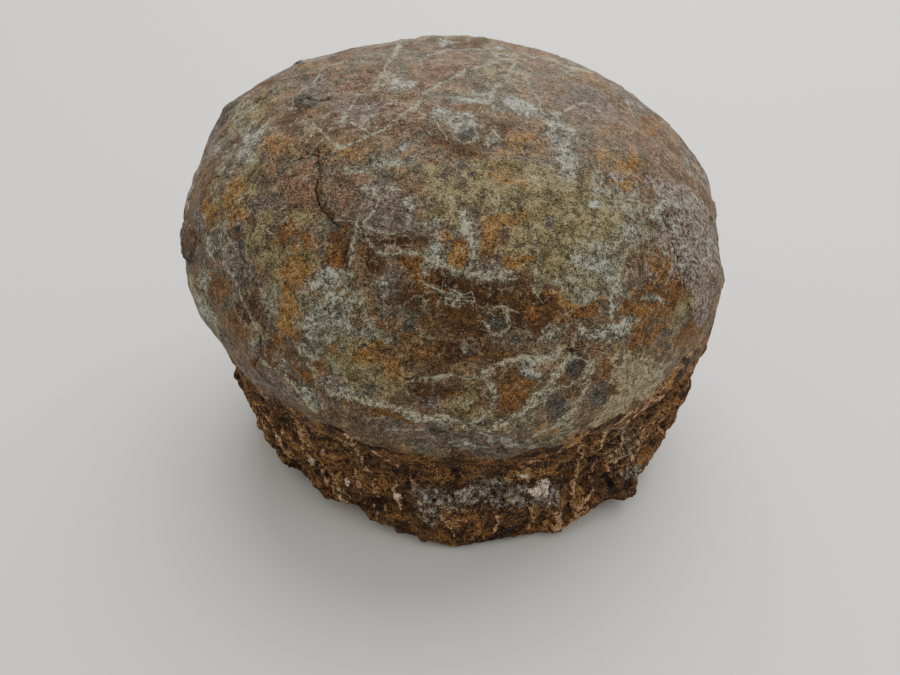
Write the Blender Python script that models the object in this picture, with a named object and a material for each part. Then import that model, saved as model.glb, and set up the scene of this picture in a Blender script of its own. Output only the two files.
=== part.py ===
"""A fossil dinosaur egg, still seated in the rock matrix that it was buried in.

Two solids. The egg is a broad, round-topped egg flattened by burial, leaning a few degrees
out of level. The matrix is the rough pedestal of siltstone left around its underside, chipped
back on every side, with ledges, knobs and hollows, and it stands on a small flat foot.
Metres, +Z up, the front of the egg towards -Y, the foot on Z = 0.
"""
import math

import bmesh
import bpy
from mathutils import Matrix, Vector, noise

# -- The egg: half its breadth each way, and its rise and drop from the widest level ----------
EGG_HALF_WIDTH = 0.0833
EGG_HALF_DEPTH = 0.0807
EGG_RISE = 0.0544
EGG_DROP = 0.0572
CROWN_FULLNESS = 2.16
BELLY_FULLNESS = 2.37
EGG_CENTRE_HEIGHT = 0.0649
LEAN_TO_RIGHT = math.radians(5.2)
LEAN_TO_FRONT = math.radians(4.4)
SHELL_WAVE = 0.0009
SHELL_WAVES_ACROSS = 3.1
SHELL_DIMPLE = 0.0004
SHELL_DIMPLES_ACROSS = 8.0

# -- The matrix ------------------------------------------------------------------------------
GAP = 0.0003
SEAT_OVERLAP = 0.004
SEAT_RISE = 0.002
BLOCK_CORE_RADIUS = 0.030
BLOCK_CORE_HEIGHT = 0.040
LUMP_HEIGHT = 0.0016
LUMP_SIZE = 0.017
KNOB_HEIGHT = 0.0009
KNOB_SIZE = 0.0075
BEDDING_HEIGHT = 0.0007
BEDDING_THICKNESS = 0.0085
BEDDING_WARP = 1.5
BEDDING_WARP_SIZE = 0.051
UNDERSIDE_BEND = 1.5
UNDERSIDE_LEAST_LIFT = 0.15
UNDERSIDE_ROUGHNESS_SHARE = 0.3
RIM_SMOOTHNESS = 0.65
RIM_SMOOTHNESS_BEND = 4

# -- How finely each solid is faceted ---------------------------------------------------------
EGG_SUBDIVISIONS = 4
EXPOSED_ABOVE = 0.027
MATRIX_SEGMENTS = 124
UNDERSIDE_ROWS = 3
WALL_ROWS = 12
HALVINGS = 24

# Each form of the shell: its azimuth from the front (to the right) and its elevation, both in
# degrees as seen from the egg's centre, its angular radius in degrees, and its height in metres.
SHELL_FORMS = (
    ("low left hollow", -60, -21, 11, -0.0026),
    ("low left lip", -67, -7, 7, 0.0012),
    ("left step", -78, 2, 9, 0.0005),
    ("upper left shoulder", -100, 21, 12, 0.0012),
    ("upper left notch", -91, 14, 8, -0.0019),
    ("back left flat", -138, 43, 15, -0.0014),
    ("back crown", -172, 50, 14, 0.0008),
    ("back right crown", 146, 46, 10, 0.0006),
    ("right shoulder", 90, 20, 11, 0.0010),
    ("right cheek dent", 78, 12, 9, -0.0016),
    ("edge of the right cheek", 52, 14, 8, 0.0010),
    ("low right bulge", 66, -2, 13, 0.0022),
    ("front brow", 12, 4, 20, 0.0008),
)

# The rim where rock meets shell, the reach of the rock's lower edge, how far that edge is
# chipped up off the ground, and the reach of the flat foot: (azimuth, metres), once around.
RIM_HEIGHT = (
    (-150, 0.043), (-95, 0.041), (-73, 0.040), (-50, 0.043), (-30, 0.0415), (-12, 0.037), (8, 0.032),
    (20, 0.035), (36, 0.041), (52, 0.049), (72, 0.052), (100, 0.049), (140, 0.046), (175, 0.044))
EDGE_REACH = (
    (-150, 0.0725), (-110, 0.0700), (-80, 0.0705), (-60, 0.0700), (-50, 0.0690), (-40, 0.0700),
    (-30, 0.0705), (-18, 0.0720), (-9, 0.0725), (-4, 0.0733), (14, 0.0738), (30, 0.0745),
    (36, 0.0748), (43, 0.0788), (51, 0.0762), (66, 0.0745), (90, 0.0735), (125, 0.0760),
    (150, 0.0735), (178, 0.0755))
EDGE_LIFT = (
    (-150, 0.0050), (-100, 0.0075), (-60, 0.0080), (-30, 0.0065), (-8, 0.0025), (0, 0.0010),
    (22, 0.0020), (36, 0.0050), (60, 0.0070), (100, 0.0060), (140, 0.0030), (175, 0.0045))
FOOT_REACH = (
    (-150, 0.058), (-100, 0.050), (-60, 0.051), (-30, 0.060), (-8, 0.070), (24, 0.071),
    (40, 0.064), (60, 0.058), (100, 0.055), (140, 0.064), (175, 0.060))

# Each form of the rock: its azimuth in degrees, its height above the ground, its half-width
# and half-height, and how far it stands out, in metres.
ROCK_FORMS = (
    ("front bench", 8, 0.010, 0.030, 0.0065, 0.0022),
    ("hollow under the shell", 6, 0.0255, 0.038, 0.0060, -0.0028),
    ("front tooth", 25, 0.003, 0.005, 0.0045, 0.0020),
    ("notch beside the tooth", 20, 0.001, 0.004, 0.0035, -0.0015),
    ("right corner", 43, 0.006, 0.007, 0.0055, 0.0012),
    ("hollow over the corner", 38, 0.017, 0.014, 0.0070, -0.0022),
    ("right crust", 72, 0.047, 0.016, 0.0070, 0.0008),
    ("right rib", 62, 0.021, 0.010, 0.0090, 0.0030),
    ("right hollow", 84, 0.016, 0.018, 0.0080, -0.0024),
    ("left knob", -74, 0.021, 0.007, 0.0055, 0.0022),
    ("left hollow", -66, 0.032, 0.012, 0.0060, -0.0016),
    ("left flank", -44, 0.020, 0.018, 0.0090, 0.0016),
    ("left scoop", -24, 0.013, 0.012, 0.0070, -0.0020),
    ("back left ledge", -118, 0.013, 0.022, 0.0060, 0.0028),
    ("back left hollow", -136, 0.027, 0.022, 0.0080, -0.0026),
    ("back knob", -165, 0.018, 0.010, 0.0080, 0.0026),
    ("back ledge", 168, 0.033, 0.024, 0.0060, 0.0022),
    ("back right scoop", 148, 0.019, 0.020, 0.0085, -0.0030),
    ("back right ledge", 122, 0.010, 0.018, 0.0065, 0.0028),
)

EGG_COLOUR = (0.130, 0.098, 0.066, 1.0)
EGG_ROUGHNESS = 0.70
MATRIX_COLOUR = (0.105, 0.056, 0.026, 1.0)
MATRIX_ROUGHNESS = 0.88


def heading(azimuth, elevation=0.0):
    """The unit vector at an azimuth from the front and an elevation, both in radians."""
    level = math.cos(elevation)
    return Vector((math.sin(azimuth) * level, -math.cos(azimuth) * level, math.sin(elevation)))


def mound(distance):
    """A soft mound: 1 at its middle, easing to nothing past two reaches."""
    return math.exp(-distance * distance)


def eased(part):
    """A part of the way from 0 to 1, starting and ending gently."""
    return part * part * (3.0 - 2.0 * part)


def turned(azimuth, other):
    """The angle from one azimuth to another, the short way round."""
    return (azimuth - other + math.pi) % math.tau - math.pi


def around(table, azimuth):
    """A table's value at an azimuth, eased between its (azimuth in degrees, value) rows."""
    degrees = (math.degrees(azimuth) + 180.0) % 360.0 - 180.0
    rows = [(table[-1][0] - 360.0, table[-1][1]), *table, (table[0][0] + 360.0, table[0][1])]
    for (start, first), (end, second) in zip(rows, rows[1:]):
        if start <= degrees <= end:
            part = (degrees - start) / (end - start)
            return first + (second - first) * eased(part)
    return table[0][1]


def egg_radius(direction):
    """How far the shell lies from the egg's centre along a unit vector of its own frame."""
    across = math.hypot(direction.x / EGG_HALF_WIDTH, direction.y / EGG_HALF_DEPTH)
    if direction.z > 0.0:
        reach, fullness = EGG_RISE, CROWN_FULLNESS
    else:
        reach, fullness = EGG_DROP, BELLY_FULLNESS
    radius = (across ** fullness + abs(direction.z / reach) ** fullness) ** (-1.0 / fullness)
    for _, azimuth, elevation, spread, height in SHELL_FORMS:
        middle = heading(math.radians(azimuth), math.radians(elevation))
        radius += height * mound(direction.angle(middle) / math.radians(spread))
    radius += SHELL_WAVE * noise.noise(direction * SHELL_WAVES_ACROSS)
    radius += SHELL_DIMPLE * noise.noise(direction * SHELL_DIMPLES_ACROSS)
    return radius


def egg_placement():
    """The egg's place: tipped down to its right and to its front, over the middle of the foot."""
    lean = Matrix.Rotation(LEAN_TO_FRONT, 4, "X") @ Matrix.Rotation(LEAN_TO_RIGHT, 4, "Y")
    return Matrix.Translation((0.0, 0.0, EGG_CENTRE_HEIGHT)) @ lean


def shell_reach(azimuth, height, to_egg):
    """How far the shell lies from the upright axis at an azimuth and a height, by halving."""
    low, high = 0.0, 2.0 * EGG_HALF_WIDTH
    for _ in range(HALVINGS):
        reach = 0.5 * (low + high)
        place = to_egg @ (heading(azimuth) * reach + Vector((0.0, 0.0, height)))
        if place.length < egg_radius(place.normalized()):
            low = reach
        else:
            high = reach
    return low


def make_egg(name, swell):
    """The egg in its own frame, refined where it shows, and swollen outwards by some metres."""
    bm = bmesh.new()
    bmesh.ops.create_icosphere(bm, subdivisions=EGG_SUBDIVISIONS, radius=1.0)
    place = egg_placement()
    shown = []
    for edge in bm.edges:
        levels = [(place @ (vert.co * egg_radius(vert.co.normalized()))).z for vert in edge.verts]
        if max(levels) > EXPOSED_ABOVE:
            shown.append(edge)
    bmesh.ops.subdivide_edges(bm, edges=shown, cuts=1, use_grid_fill=True)
    bmesh.ops.triangulate(bm, faces=bm.faces)
    for vert in bm.verts:
        direction = vert.co.normalized()
        vert.co = direction * (egg_radius(direction) + swell)
    bmesh.ops.recalc_face_normals(bm, faces=bm.faces)
    mesh = bpy.data.meshes.new(name)
    bm.to_mesh(mesh)
    bm.free()
    mesh.shade_smooth()
    egg = bpy.data.objects.new(name, mesh)
    egg.matrix_world = place
    return egg


def rock_relief(azimuth, reach, height):
    """How far the rock's side stands out from its plain wall at a place on it."""
    relief = 0.0
    for _, middle, level, half_width, half_height, push in ROCK_FORMS:
        along = turned(azimuth, math.radians(middle)) * reach / half_width
        relief += push * mound(math.hypot(along, (height - level) / half_height))
    place = heading(azimuth) * reach + Vector((0.0, 0.0, height))
    relief += LUMP_HEIGHT * noise.noise(place / LUMP_SIZE)
    relief += KNOB_HEIGHT * noise.noise(place / KNOB_SIZE)
    bed = height / BEDDING_THICKNESS + BEDDING_WARP * noise.noise(place / BEDDING_WARP_SIZE)
    relief += BEDDING_HEIGHT * math.sin(math.tau * bed)
    return relief


def rock_profile(azimuth, to_egg):
    """The rock's outline at one azimuth, from its foot to its rim, as (reach, height) points."""
    foot = around(FOOT_REACH, azimuth)
    edge = around(EDGE_REACH, azimuth)
    lift = around(EDGE_LIFT, azimuth)
    rim = around(RIM_HEIGHT, azimuth)
    seat = shell_reach(azimuth, rim, to_egg)
    points = [(foot, 0.0)]
    for row in range(1, UNDERSIDE_ROWS):
        part = row / UNDERSIDE_ROWS
        reach = foot + (edge - foot) * part
        height = lift * part ** UNDERSIDE_BEND
        height += UNDERSIDE_ROUGHNESS_SHARE * rock_relief(azimuth, reach, 0.0)
        points.append((reach, max(height, UNDERSIDE_LEAST_LIFT * lift)))
    for row in range(WALL_ROWS + 1):
        part = row / WALL_ROWS
        height = lift + (rim - lift) * part
        reach = edge + (seat - edge) * eased(part)
        fade = 1.0 - RIM_SMOOTHNESS * part ** RIM_SMOOTHNESS_BEND
        points.append((reach + fade * rock_relief(azimuth, reach, height), height))
    points.append((seat - SEAT_OVERLAP, rim + SEAT_RISE))
    points.append((BLOCK_CORE_RADIUS, BLOCK_CORE_HEIGHT))
    return points


def make_matrix(name):
    """The block of rock before the egg's seat is cut from it: rings of one outline all round."""
    to_egg = egg_placement().inverted()
    bm = bmesh.new()
    rings = []
    for segment in range(MATRIX_SEGMENTS):
        azimuth = math.tau * segment / MATRIX_SEGMENTS
        outline = rock_profile(azimuth, to_egg)
        rings.append([bm.verts.new(heading(azimuth) * r + Vector((0.0, 0.0, z))) for r, z in outline])
    for segment, ring in enumerate(rings):
        following = rings[(segment + 1) % MATRIX_SEGMENTS]
        for row in range(len(ring) - 1):
            bm.faces.new((ring[row], following[row], following[row + 1], ring[row + 1]))
    bm.faces.new([ring[0] for ring in reversed(rings)])
    bm.faces.new([ring[-1] for ring in rings])
    bmesh.ops.recalc_face_normals(bm, faces=bm.faces)
    mesh = bpy.data.meshes.new(name)
    bm.to_mesh(mesh)
    bm.free()
    mesh.shade_smooth()
    return bpy.data.objects.new(name, mesh)


def stone_material(name, colour, roughness):
    material = bpy.data.materials.new(name)
    material.use_nodes = True
    shader = material.node_tree.nodes["Principled BSDF"]
    shader.inputs["Base Color"].default_value = colour
    shader.inputs["Roughness"].default_value = roughness
    shader.inputs["Metallic"].default_value = 0.0
    return material


def collection_named(name):
    collection = bpy.data.collections.new(name)
    bpy.context.scene.collection.children.link(collection)
    return collection


def main():
    for old in list(bpy.data.objects):
        bpy.data.objects.remove(old, do_unlink=True)
    parts = collection_named("fossil_dinosaur_egg")
    cutters = collection_named("cutters")

    egg = make_egg("egg", 0.0)
    egg.data.materials.append(stone_material("fossil eggshell", EGG_COLOUR, EGG_ROUGHNESS))
    parts.objects.link(egg)

    seat = make_egg("egg_seat", GAP)
    seat.hide_render = True
    seat.display_type = "WIRE"
    cutters.objects.link(seat)

    matrix = make_matrix("matrix")
    matrix.data.materials.append(stone_material("siltstone matrix", MATRIX_COLOUR, MATRIX_ROUGHNESS))
    parts.objects.link(matrix)
    cut = matrix.modifiers.new("seat of the egg", "BOOLEAN")
    cut.operation = "DIFFERENCE"
    cut.solver = "EXACT"
    cut.object = seat


main()
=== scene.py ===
"""The looks of the fossil egg: its veined, mottled shell and the pitted rock that it sits in."""
import math

import bmesh
import bpy
import numpy as np
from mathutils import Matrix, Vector, noise
from mathutils.bvhtree import BVHTree


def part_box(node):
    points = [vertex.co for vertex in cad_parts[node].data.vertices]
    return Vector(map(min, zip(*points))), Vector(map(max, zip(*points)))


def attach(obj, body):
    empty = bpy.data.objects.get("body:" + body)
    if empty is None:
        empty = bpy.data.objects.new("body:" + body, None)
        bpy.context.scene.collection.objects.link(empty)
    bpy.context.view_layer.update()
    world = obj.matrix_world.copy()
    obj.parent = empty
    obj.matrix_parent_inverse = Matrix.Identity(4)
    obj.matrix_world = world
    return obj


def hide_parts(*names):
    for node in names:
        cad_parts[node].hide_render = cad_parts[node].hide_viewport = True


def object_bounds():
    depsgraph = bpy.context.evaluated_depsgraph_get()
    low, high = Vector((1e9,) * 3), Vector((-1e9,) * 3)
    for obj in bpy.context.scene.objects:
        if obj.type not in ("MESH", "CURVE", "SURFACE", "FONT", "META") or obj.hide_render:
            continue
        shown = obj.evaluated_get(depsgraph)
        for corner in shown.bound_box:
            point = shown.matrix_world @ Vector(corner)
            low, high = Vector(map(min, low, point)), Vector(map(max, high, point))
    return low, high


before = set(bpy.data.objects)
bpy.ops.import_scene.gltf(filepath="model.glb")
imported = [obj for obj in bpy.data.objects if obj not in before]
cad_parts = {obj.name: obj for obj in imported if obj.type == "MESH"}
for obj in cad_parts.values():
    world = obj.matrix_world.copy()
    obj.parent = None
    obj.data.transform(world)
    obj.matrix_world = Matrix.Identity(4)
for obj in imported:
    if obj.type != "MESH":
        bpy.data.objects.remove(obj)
CAD_LOW, CAD_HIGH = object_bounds()

MM = 0.001

# -- The camera that took the photograph, in the object's frame --
PHOTO_WIDTH = 900
PHOTO_HEIGHT = 675
FOCAL_PIXELS = 900.0
CAMERA_PLACE = Vector((-0.00103, -0.25739, 0.1966))
CAMERA_PITCH = math.radians(33.8)
EGG_HOME = (450, 240)
ROCK_HOME = (450, 490)

# -- How finely each surface is made --
EGG_CELLS = 126
EGG_FOCUS = Vector((0.02, -0.20, 0.20))
EGG_SMOOTHING = 2
ROCK_VOXEL = 0.63 * MM
ROCK_SMOOTHING = 6
RIM_PARTS = 60
WELD = 1e-6
SEARCH_STEPS = 20

# The rock's seat is filled with the egg's own form, so that the remesh closes it. That form is
# pushed out by the fill below the rim and drawn in by the sink above it, over the two ranges of
# height from the rim. Then all that lies deeper than the seat's depth under the shell is cut away.
SEAT_FILL = 0.9 * MM
SEAT_SINK = 4.0 * MM
SEAT_DEPTH = 1.5 * MM
LIP_RANGE = (-3.0 * MM, 2.0 * MM)
SUNK_RANGE = (0.5 * MM, 3.0 * MM)
# The rock's relief fades in over these distances from the shell and heights above the ground.
SHELL_FADE = (0.4 * MM, 2.4 * MM)
GROUND_FADE = (0.2 * MM, 2.0 * MM)

# -- Relief, in millimetres --
# Noise that moves places about: the size of its lumps and its three shifts.
WANDER = (5.0, (11.0, 23.0, 37.0))
WANDER_FINE = (1.8, (5.0, 9.0, 14.0))
WANDER_BROAD = (14.0, (41.0, 53.0, 67.0))
WANDER_JAGGED = (0.9, (6.0, 21.0, 33.0))
# How far it moves each kind of mark.
PATCH_STRAY = 3.0
VEIN_STRAY = 0.6
PLATE_STRAY = 2.4
RAISED_STRAY = 1.2
RAISED_STRAY_BROAD = 1.5
ROCK_STRAY = 2.5
RIB_STRAY = 0.5
# Where marks fade out: a patch in its own reaches, a raised plate in its patch's strength, a crack
# in millimetres, a rib in its half-widths, and the camera's view in the cosine of its angle.
PATCH_EDGE = (0.35, 1.55)
RAISED_EDGE = (0.42, 0.58)
FISSURE_EDGE = (0.3, 1.4)
RIB_EDGE = (0.3, 2.4)
UNSEEN_RANGE = (-0.05, 0.20)
# Waves: each one's height, the size of its lumps and its shift.
SHELL_WAVES = ((0.7, 20.0, 0.0), (0.7, 9.0, 3.0), (0.35, 4.0, 7.0), (0.15, 2.0, 19.0))
ROCK_LUMPS = (1.8, 8.0, 1.0)
ROCK_KNOBS = (1.8, 3.6, 6.0)
ROCK_GRAIN = (0.5, 1.7, 8.0)
KNOB_LEVEL = 0.2
# The streaks along the rock's beds share a height: each one's part of it, its size and its shift.
STREAK_HEIGHT = 2.4
ROCK_STREAKS = ((1.0, 2.4, 4.0), (0.5, 1.1, 17.0))
# The shell's plates, whose levels come from where their seeds lie, and the gaps between them.
SHELL_PLATE = 12.0
SHELL_PLATE_STEP = 0.16
SHELL_PLATE_GAP = 0.14
SHELL_SEED_TURN = np.array((12.9, 78.2, 37.7))
# The rock's pits, and how far its black marks sink and its white ones stand.
PIT_SIZE = 3.0
PIT_DEPTH = 1.3
PIT_EDGE = (0.12, 0.32)
PIT_CLUSTER = 9.0
BLACK_DEPTH = 1.0
WHITE_HEIGHT = 0.4
# How far each skin lies inside the CAD, how far the rock reaches out of it, and its flat foot.
SHELL_INSET = 0.15
ROCK_INSET = 1.1
ROCK_REACH = 1.6
ROCK_FOOT = 0.4
# Fibres show at the sides and fade towards the back: two ranges in degrees from the front.
FRONT_TURN = 2.0
FIBROUS_FROM = (16.0, 34.0)
FIBROUS_TO = (60.0, 110.0)

# The shell's patches of colour, by kind and by where they lie, placed on the photograph:
# a pixel, the reach along and across in pixels, the slant in degrees, and the strength.
PATCHES = {
    "rose": {
        "crown": ((520, 50, 30, 8, 10, 0.5), (440, 65, 36, 12, 0, 0.5), (345, 75, 40, 14, -14, 0.4),
            (555, 88, 24, 12, 10, 0.6), (620, 115, 40, 14, 40, 0.7), (400, 120, 36, 16, -10, 0.5)),
        "left": ((290, 172, 14, 10, 0, 0.6), (300, 190, 18, 24, 0, 0.9), (270, 208, 12, 8, 0, 0.7)),
        "middle": ((345, 190, 18, 22, 0, 0.6),),
        "right": ((665, 160, 30, 16, 50, 0.6),),
        "low": ((250, 355, 18, 12, 50, 0.6), (430, 400, 30, 10, 0, 0.5)),
    },
    "mauve": {
        "crown": ((315, 85, 20, 14, -10, 0.6), (590, 100, 30, 16, 20, 0.5), (360, 110, 40, 20, -10, 0.5)),
        "left": ((270, 203, 16, 12, 0, 0.6), (195, 225, 8, 30, 5, 0.6), (235, 258, 18, 24, 0, 0.8)),
        "middle": ((380, 205, 34, 20, 5, 0.6), (388, 240, 26, 10, 0, 0.6), (390, 285, 16, 16, 0, 0.6)),
        "right": ((652, 278, 9, 18, 0, 0.7), (660, 335, 30, 8, -30, 0.5)),
        "low": ((250, 350, 14, 12, 0, 0.5), (270, 385, 34, 10, 40, 0.8), (420, 385, 28, 12, 0, 0.5),
            (400, 430, 40, 8, 8, 0.7), (480, 445, 50, 10, 0, 0.9)),
    },
    "olive": {
        "crown": ((500, 70, 40, 16, 0, 0.35), (245, 110, 26, 14, -50, 0.5)),
        "left": ((250, 175, 14, 30, 10, 0.6), (215, 200, 8, 40, 8, 0.4), (290, 214, 34, 8, 10, 0.6),
            (262, 240, 18, 20, 0, 0.5), (285, 262, 26, 18, 0, 0.8), (195, 300, 8, 24, -20, 0.6),
            (250, 335, 14, 12, 0, 0.5)),
        "middle": ((505, 180, 50, 24, -5, 0.85), (440, 190, 20, 20, 0, 0.6), (450, 215, 26, 14, 0, 0.55),
            (565, 215, 70, 42, 10, 0.95), (560, 262, 50, 30, 0, 0.8), (345, 310, 24, 26, 0, 0.7)),
        "right": ((675, 300, 20, 24, 0, 0.6),),
        "low": ((630, 350, 24, 10, -20, 0.5), (345, 365, 40, 20, 25, 0.85), (385, 380, 24, 18, 0, 0.7),
            (460, 395, 28, 16, 5, 0.6), (500, 425, 40, 12, -5, 0.55)),
    },
    "sage": {
        "crown": ((480, 92, 24, 6, 10, 0.6), (238, 112, 14, 8, -45, 0.8)),
        "left": ((222, 235, 6, 26, -5, 0.6), (272, 300, 12, 18, 20, 0.6)),
        "middle": ((475, 245, 8, 16, 0, 0.7), (430, 250, 14, 18, -10, 0.6), (562, 286, 22, 9, 0, 0.6),
            (335, 288, 24, 12, 10, 0.6), (330, 318, 28, 26, 20, 0.9)),
        "right": ((625, 195, 20, 20, 0, 0.5), (587, 207, 10, 9, 0, 0.8), (635, 225, 22, 30, 0, 0.55),
            (600, 262, 30, 14, 0, 0.7), (590, 292, 30, 14, 0, 0.75)),
        "low": ((378, 345, 14, 8, 5, 1.0), (320, 365, 26, 10, 35, 0.7), (395, 410, 40, 5, 15, 0.6),
            (560, 435, 24, 6, -20, 0.5)),
    },
    "umber": {
        "crown": ((290, 118, 14, 12, 0, 0.7), (500, 125, 24, 10, 0, 0.5), (455, 140, 30, 16, 10, 0.5)),
        "left": ((265, 175, 8, 12, 20, 0.4), (188, 245, 6, 24, 0, 0.8), (248, 308, 12, 14, 0, 0.8)),
        "middle": ((339, 240, 9, 32, -8, 0.85), (400, 240, 26, 10, 10, 0.75), (365, 250, 12, 28, 0, 0.8),
            (470, 302, 52, 34, 8, 0.95), (410, 305, 26, 16, 10, 0.7), (540, 305, 24, 20, 0, 0.8)),
        "right": ((650, 312, 26, 14, 0, 0.5),),
        "low": ((265, 342, 8, 12, 0, 0.6), (455, 350, 44, 14, 0, 0.7), (430, 385, 40, 10, 5, 0.6),
            (520, 385, 20, 24, 0, 0.4)),
    },
    "rust": {
        "crown": ((655, 125, 12, 10, 40, 0.6),),
        "left": ((287, 232, 12, 12, 0, 0.9), (304, 246, 10, 12, 30, 0.95), (212, 290, 12, 16, 0, 0.7),
            (235, 330, 22, 10, 50, 0.6)),
        "middle": ((458, 250, 12, 12, 0, 0.7), (492, 254, 8, 9, 0, 0.8), (336, 262, 8, 18, 0, 1.0),
            (400, 262, 16, 8, 0, 0.95), (425, 270, 20, 13, 20, 0.9), (530, 300, 12, 16, 0, 0.45),
            (580, 310, 34, 8, -18, 0.9), (385, 330, 14, 9, 0, 0.45)),
        "right": ((674, 215, 9, 6, -10, 1.0), (665, 234, 4, 4, 0, 0.9), (667, 265, 6, 24, 0, 1.0),
            (668, 286, 10, 34, -8, 0.9), (650, 290, 14, 14, 0, 0.6), (640, 312, 20, 12, 0, 0.7),
            (650, 332, 22, 9, -30, 0.7), (690, 335, 20, 10, -50, 0.8)),
        "low": ((603, 343, 6, 4, 0, 0.8), (270, 345, 14, 14, 0, 0.5), (420, 345, 22, 12, 0, 0.55),
            (495, 358, 24, 7, 0, 0.8), (255, 368, 8, 5, 20, 0.9), (308, 372, 12, 12, 30, 0.8),
            (600, 375, 8, 16, 20, 0.6), (450, 392, 18, 8, 0, 0.5), (515, 395, 14, 20, 0, 0.65),
            (385, 412, 40, 8, 12, 0.7)),
    },
    "amber": {
        "crown": ((265, 138, 16, 10, 20, 0.6), (520, 142, 22, 8, -20, 0.6)),
        "left": ((232, 200, 12, 24, 5, 0.9), (208, 210, 7, 14, 0, 0.7), (292, 272, 13, 12, 0, 1.0),
            (288, 318, 10, 24, -15, 0.9)),
        "middle": ((345, 155, 20, 8, 10, 0.6), (500, 170, 24, 10, 0, 0.5), (512, 222, 20, 12, 0, 0.6),
            (490, 228, 14, 20, 0, 0.85), (440, 238, 12, 12, 0, 0.8), (455, 252, 14, 9, 0, 0.9),
            (515, 270, 18, 9, 0, 0.8), (328, 295, 18, 8, 10, 0.7), (563, 298, 24, 7, 0, 0.7),
            (368, 318, 14, 10, 0, 0.7)),
        "right": ((600, 150, 8, 12, 10, 0.6), (628, 158, 8, 10, 20, 0.6), (622, 181, 14, 6, 0, 1.0)),
        "low": ((330, 345, 16, 8, 30, 0.6), (370, 358, 12, 9, 0, 1.0), (392, 372, 8, 12, 0, 0.6),
            (545, 430, 16, 7, -25, 0.5)),
    },
    "cheek": {
        "right": ((652, 182, 10, 7, 40, 0.7), (672, 194, 18, 13, 30, 0.9), (694, 236, 20, 48, -8, 1.0),
            (702, 296, 9, 28, 0, 0.9)),
    },
    "cream": {
        "left": ((192, 292, 4, 14, -12, 0.9),),
        "low": ((562, 350, 16, 5, -20, 0.7), (545, 360, 24, 5, -8, 0.85), (565, 368, 12, 5, -55, 0.8),
            (640, 378, 22, 22, -50, 1.0), (622, 402, 20, 9, -45, 0.95), (600, 420, 16, 5, -35, 0.8)),
    },
    "char": {
        "crown": ((298, 64, 8, 2, -20, 0.8), (303, 76, 8, 4, 0, 0.6), (303, 100, 12, 9, 0, 0.85),
            (228, 111, 12, 2, -42, 0.9), (466, 132, 10, 10, 40, 0.75), (557, 134, 6, 8, -20, 1.0),
            (568, 144, 6, 6, 20, 0.9)),
        "left": ((184, 228, 2, 10, 0, 1.0), (238, 228, 7, 6, 0, 0.7), (240, 246, 5, 8, 0, 0.75),
            (188, 258, 3, 10, 0, 1.0), (221, 337, 3, 5, 0, 1.0)),
        "middle": ((462, 165, 6, 6, 0, 0.7), (552, 222, 7, 10, 0, 0.45), (331, 224, 10, 6, 40, 0.6),
            (537, 258, 5, 8, 0, 0.5), (355, 290, 7, 8, 0, 0.65), (460, 297, 10, 7, 0, 0.85),
            (338, 314, 8, 12, -10, 0.6), (497, 320, 9, 10, 0, 0.95), (412, 330, 9, 9, 0, 0.8),
            (515, 340, 10, 6, 0, 0.7)),
        "right": ((692, 229, 2, 2, 0, 0.9), (632, 232, 8, 8, 0, 0.5), (607, 270, 7, 6, 0, 0.6),
            (670, 330, 14, 4, 0, 0.5)),
        "low": ((260, 345, 5, 8, 20, 0.7), (574, 353, 3, 3, 0, 1.0), (577, 370, 13, 10, -55, 0.95),
            (600, 398, 14, 9, -60, 0.65), (430, 400, 14, 8, 0, 0.45), (558, 408, 14, 13, 0, 0.9),
            (485, 425, 8, 8, 0, 0.6), (437, 431, 9, 3, 12, 0.9), (530, 452, 10, 3, -10, 0.8)),
    },
    "crust": {
        "crown": ((443, 42, 10, 4, 0, 0.6), (405, 85, 12, 8, 0, 0.85), (470, 98, 24, 4, 5, 0.7),
            (520, 105, 22, 8, 18, 0.95), (442, 112, 9, 8, 0, 0.7), (465, 122, 18, 12, 30, 0.65),
            (560, 128, 12, 18, -20, 0.55), (255, 135, 14, 10, -25, 0.7), (490, 138, 10, 9, -40, 0.6),
            (562, 142, 7, 30, -15, 0.6), (215, 145, 18, 4, -50, 0.5), (402, 146, 8, 8, 0, 0.5)),
        "left": ((245, 155, 10, 10, 0, 0.6), (225, 165, 14, 30, 20, 0.25), (238, 222, 7, 6, 0, 0.6),
            (205, 235, 10, 26, 0, 0.25), (212, 245, 8, 12, 0, 0.65), (203, 280, 3, 16, 0, 0.6),
            (206, 312, 5, 16, -20, 0.85)),
        "middle": ((570, 160, 10, 22, 10, 0.5), (402, 166, 14, 3, -4, 0.8), (375, 168, 16, 4, -8, 0.95),
            (350, 171, 12, 2, 0, 0.8), (403, 207, 4, 16, 0, 0.55), (430, 222, 12, 6, 0, 0.6),
            (466, 225, 8, 30, -10, 0.45), (466, 236, 5, 24, -15, 0.5), (432, 255, 12, 18, -10, 0.75),
            (348, 258, 3, 26, 0, 0.45), (536, 265, 6, 40, 0, 0.4), (470, 270, 24, 6, 8, 0.5),
            (470, 270, 40, 5, 12, 0.55), (325, 280, 16, 10, 0, 0.75), (380, 285, 10, 12, 0, 0.6),
            (338, 296, 20, 16, 40, 0.6), (460, 300, 12, 4, 10, 0.3), (338, 304, 26, 24, 20, 0.55),
            (570, 314, 5, 4, 0, 0.8), (362, 322, 18, 12, 50, 0.55), (500, 322, 14, 12, 0, 0.35),
            (418, 325, 12, 8, 0, 0.32), (312, 330, 20, 12, 40, 0.45), (535, 330, 14, 8, 0, 0.5)),
        "right": ((605, 185, 16, 20, 30, 0.32), (668, 196, 18, 14, 30, 0.32), (587, 207, 9, 8, 0, 0.7),
            (655, 215, 14, 10, 40, 0.5), (628, 230, 12, 14, 30, 0.6), (690, 236, 22, 46, -8, 0.34),
            (612, 250, 14, 24, 0, 0.32), (600, 262, 20, 8, 0, 0.5), (680, 265, 6, 5, 0, 0.8),
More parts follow.
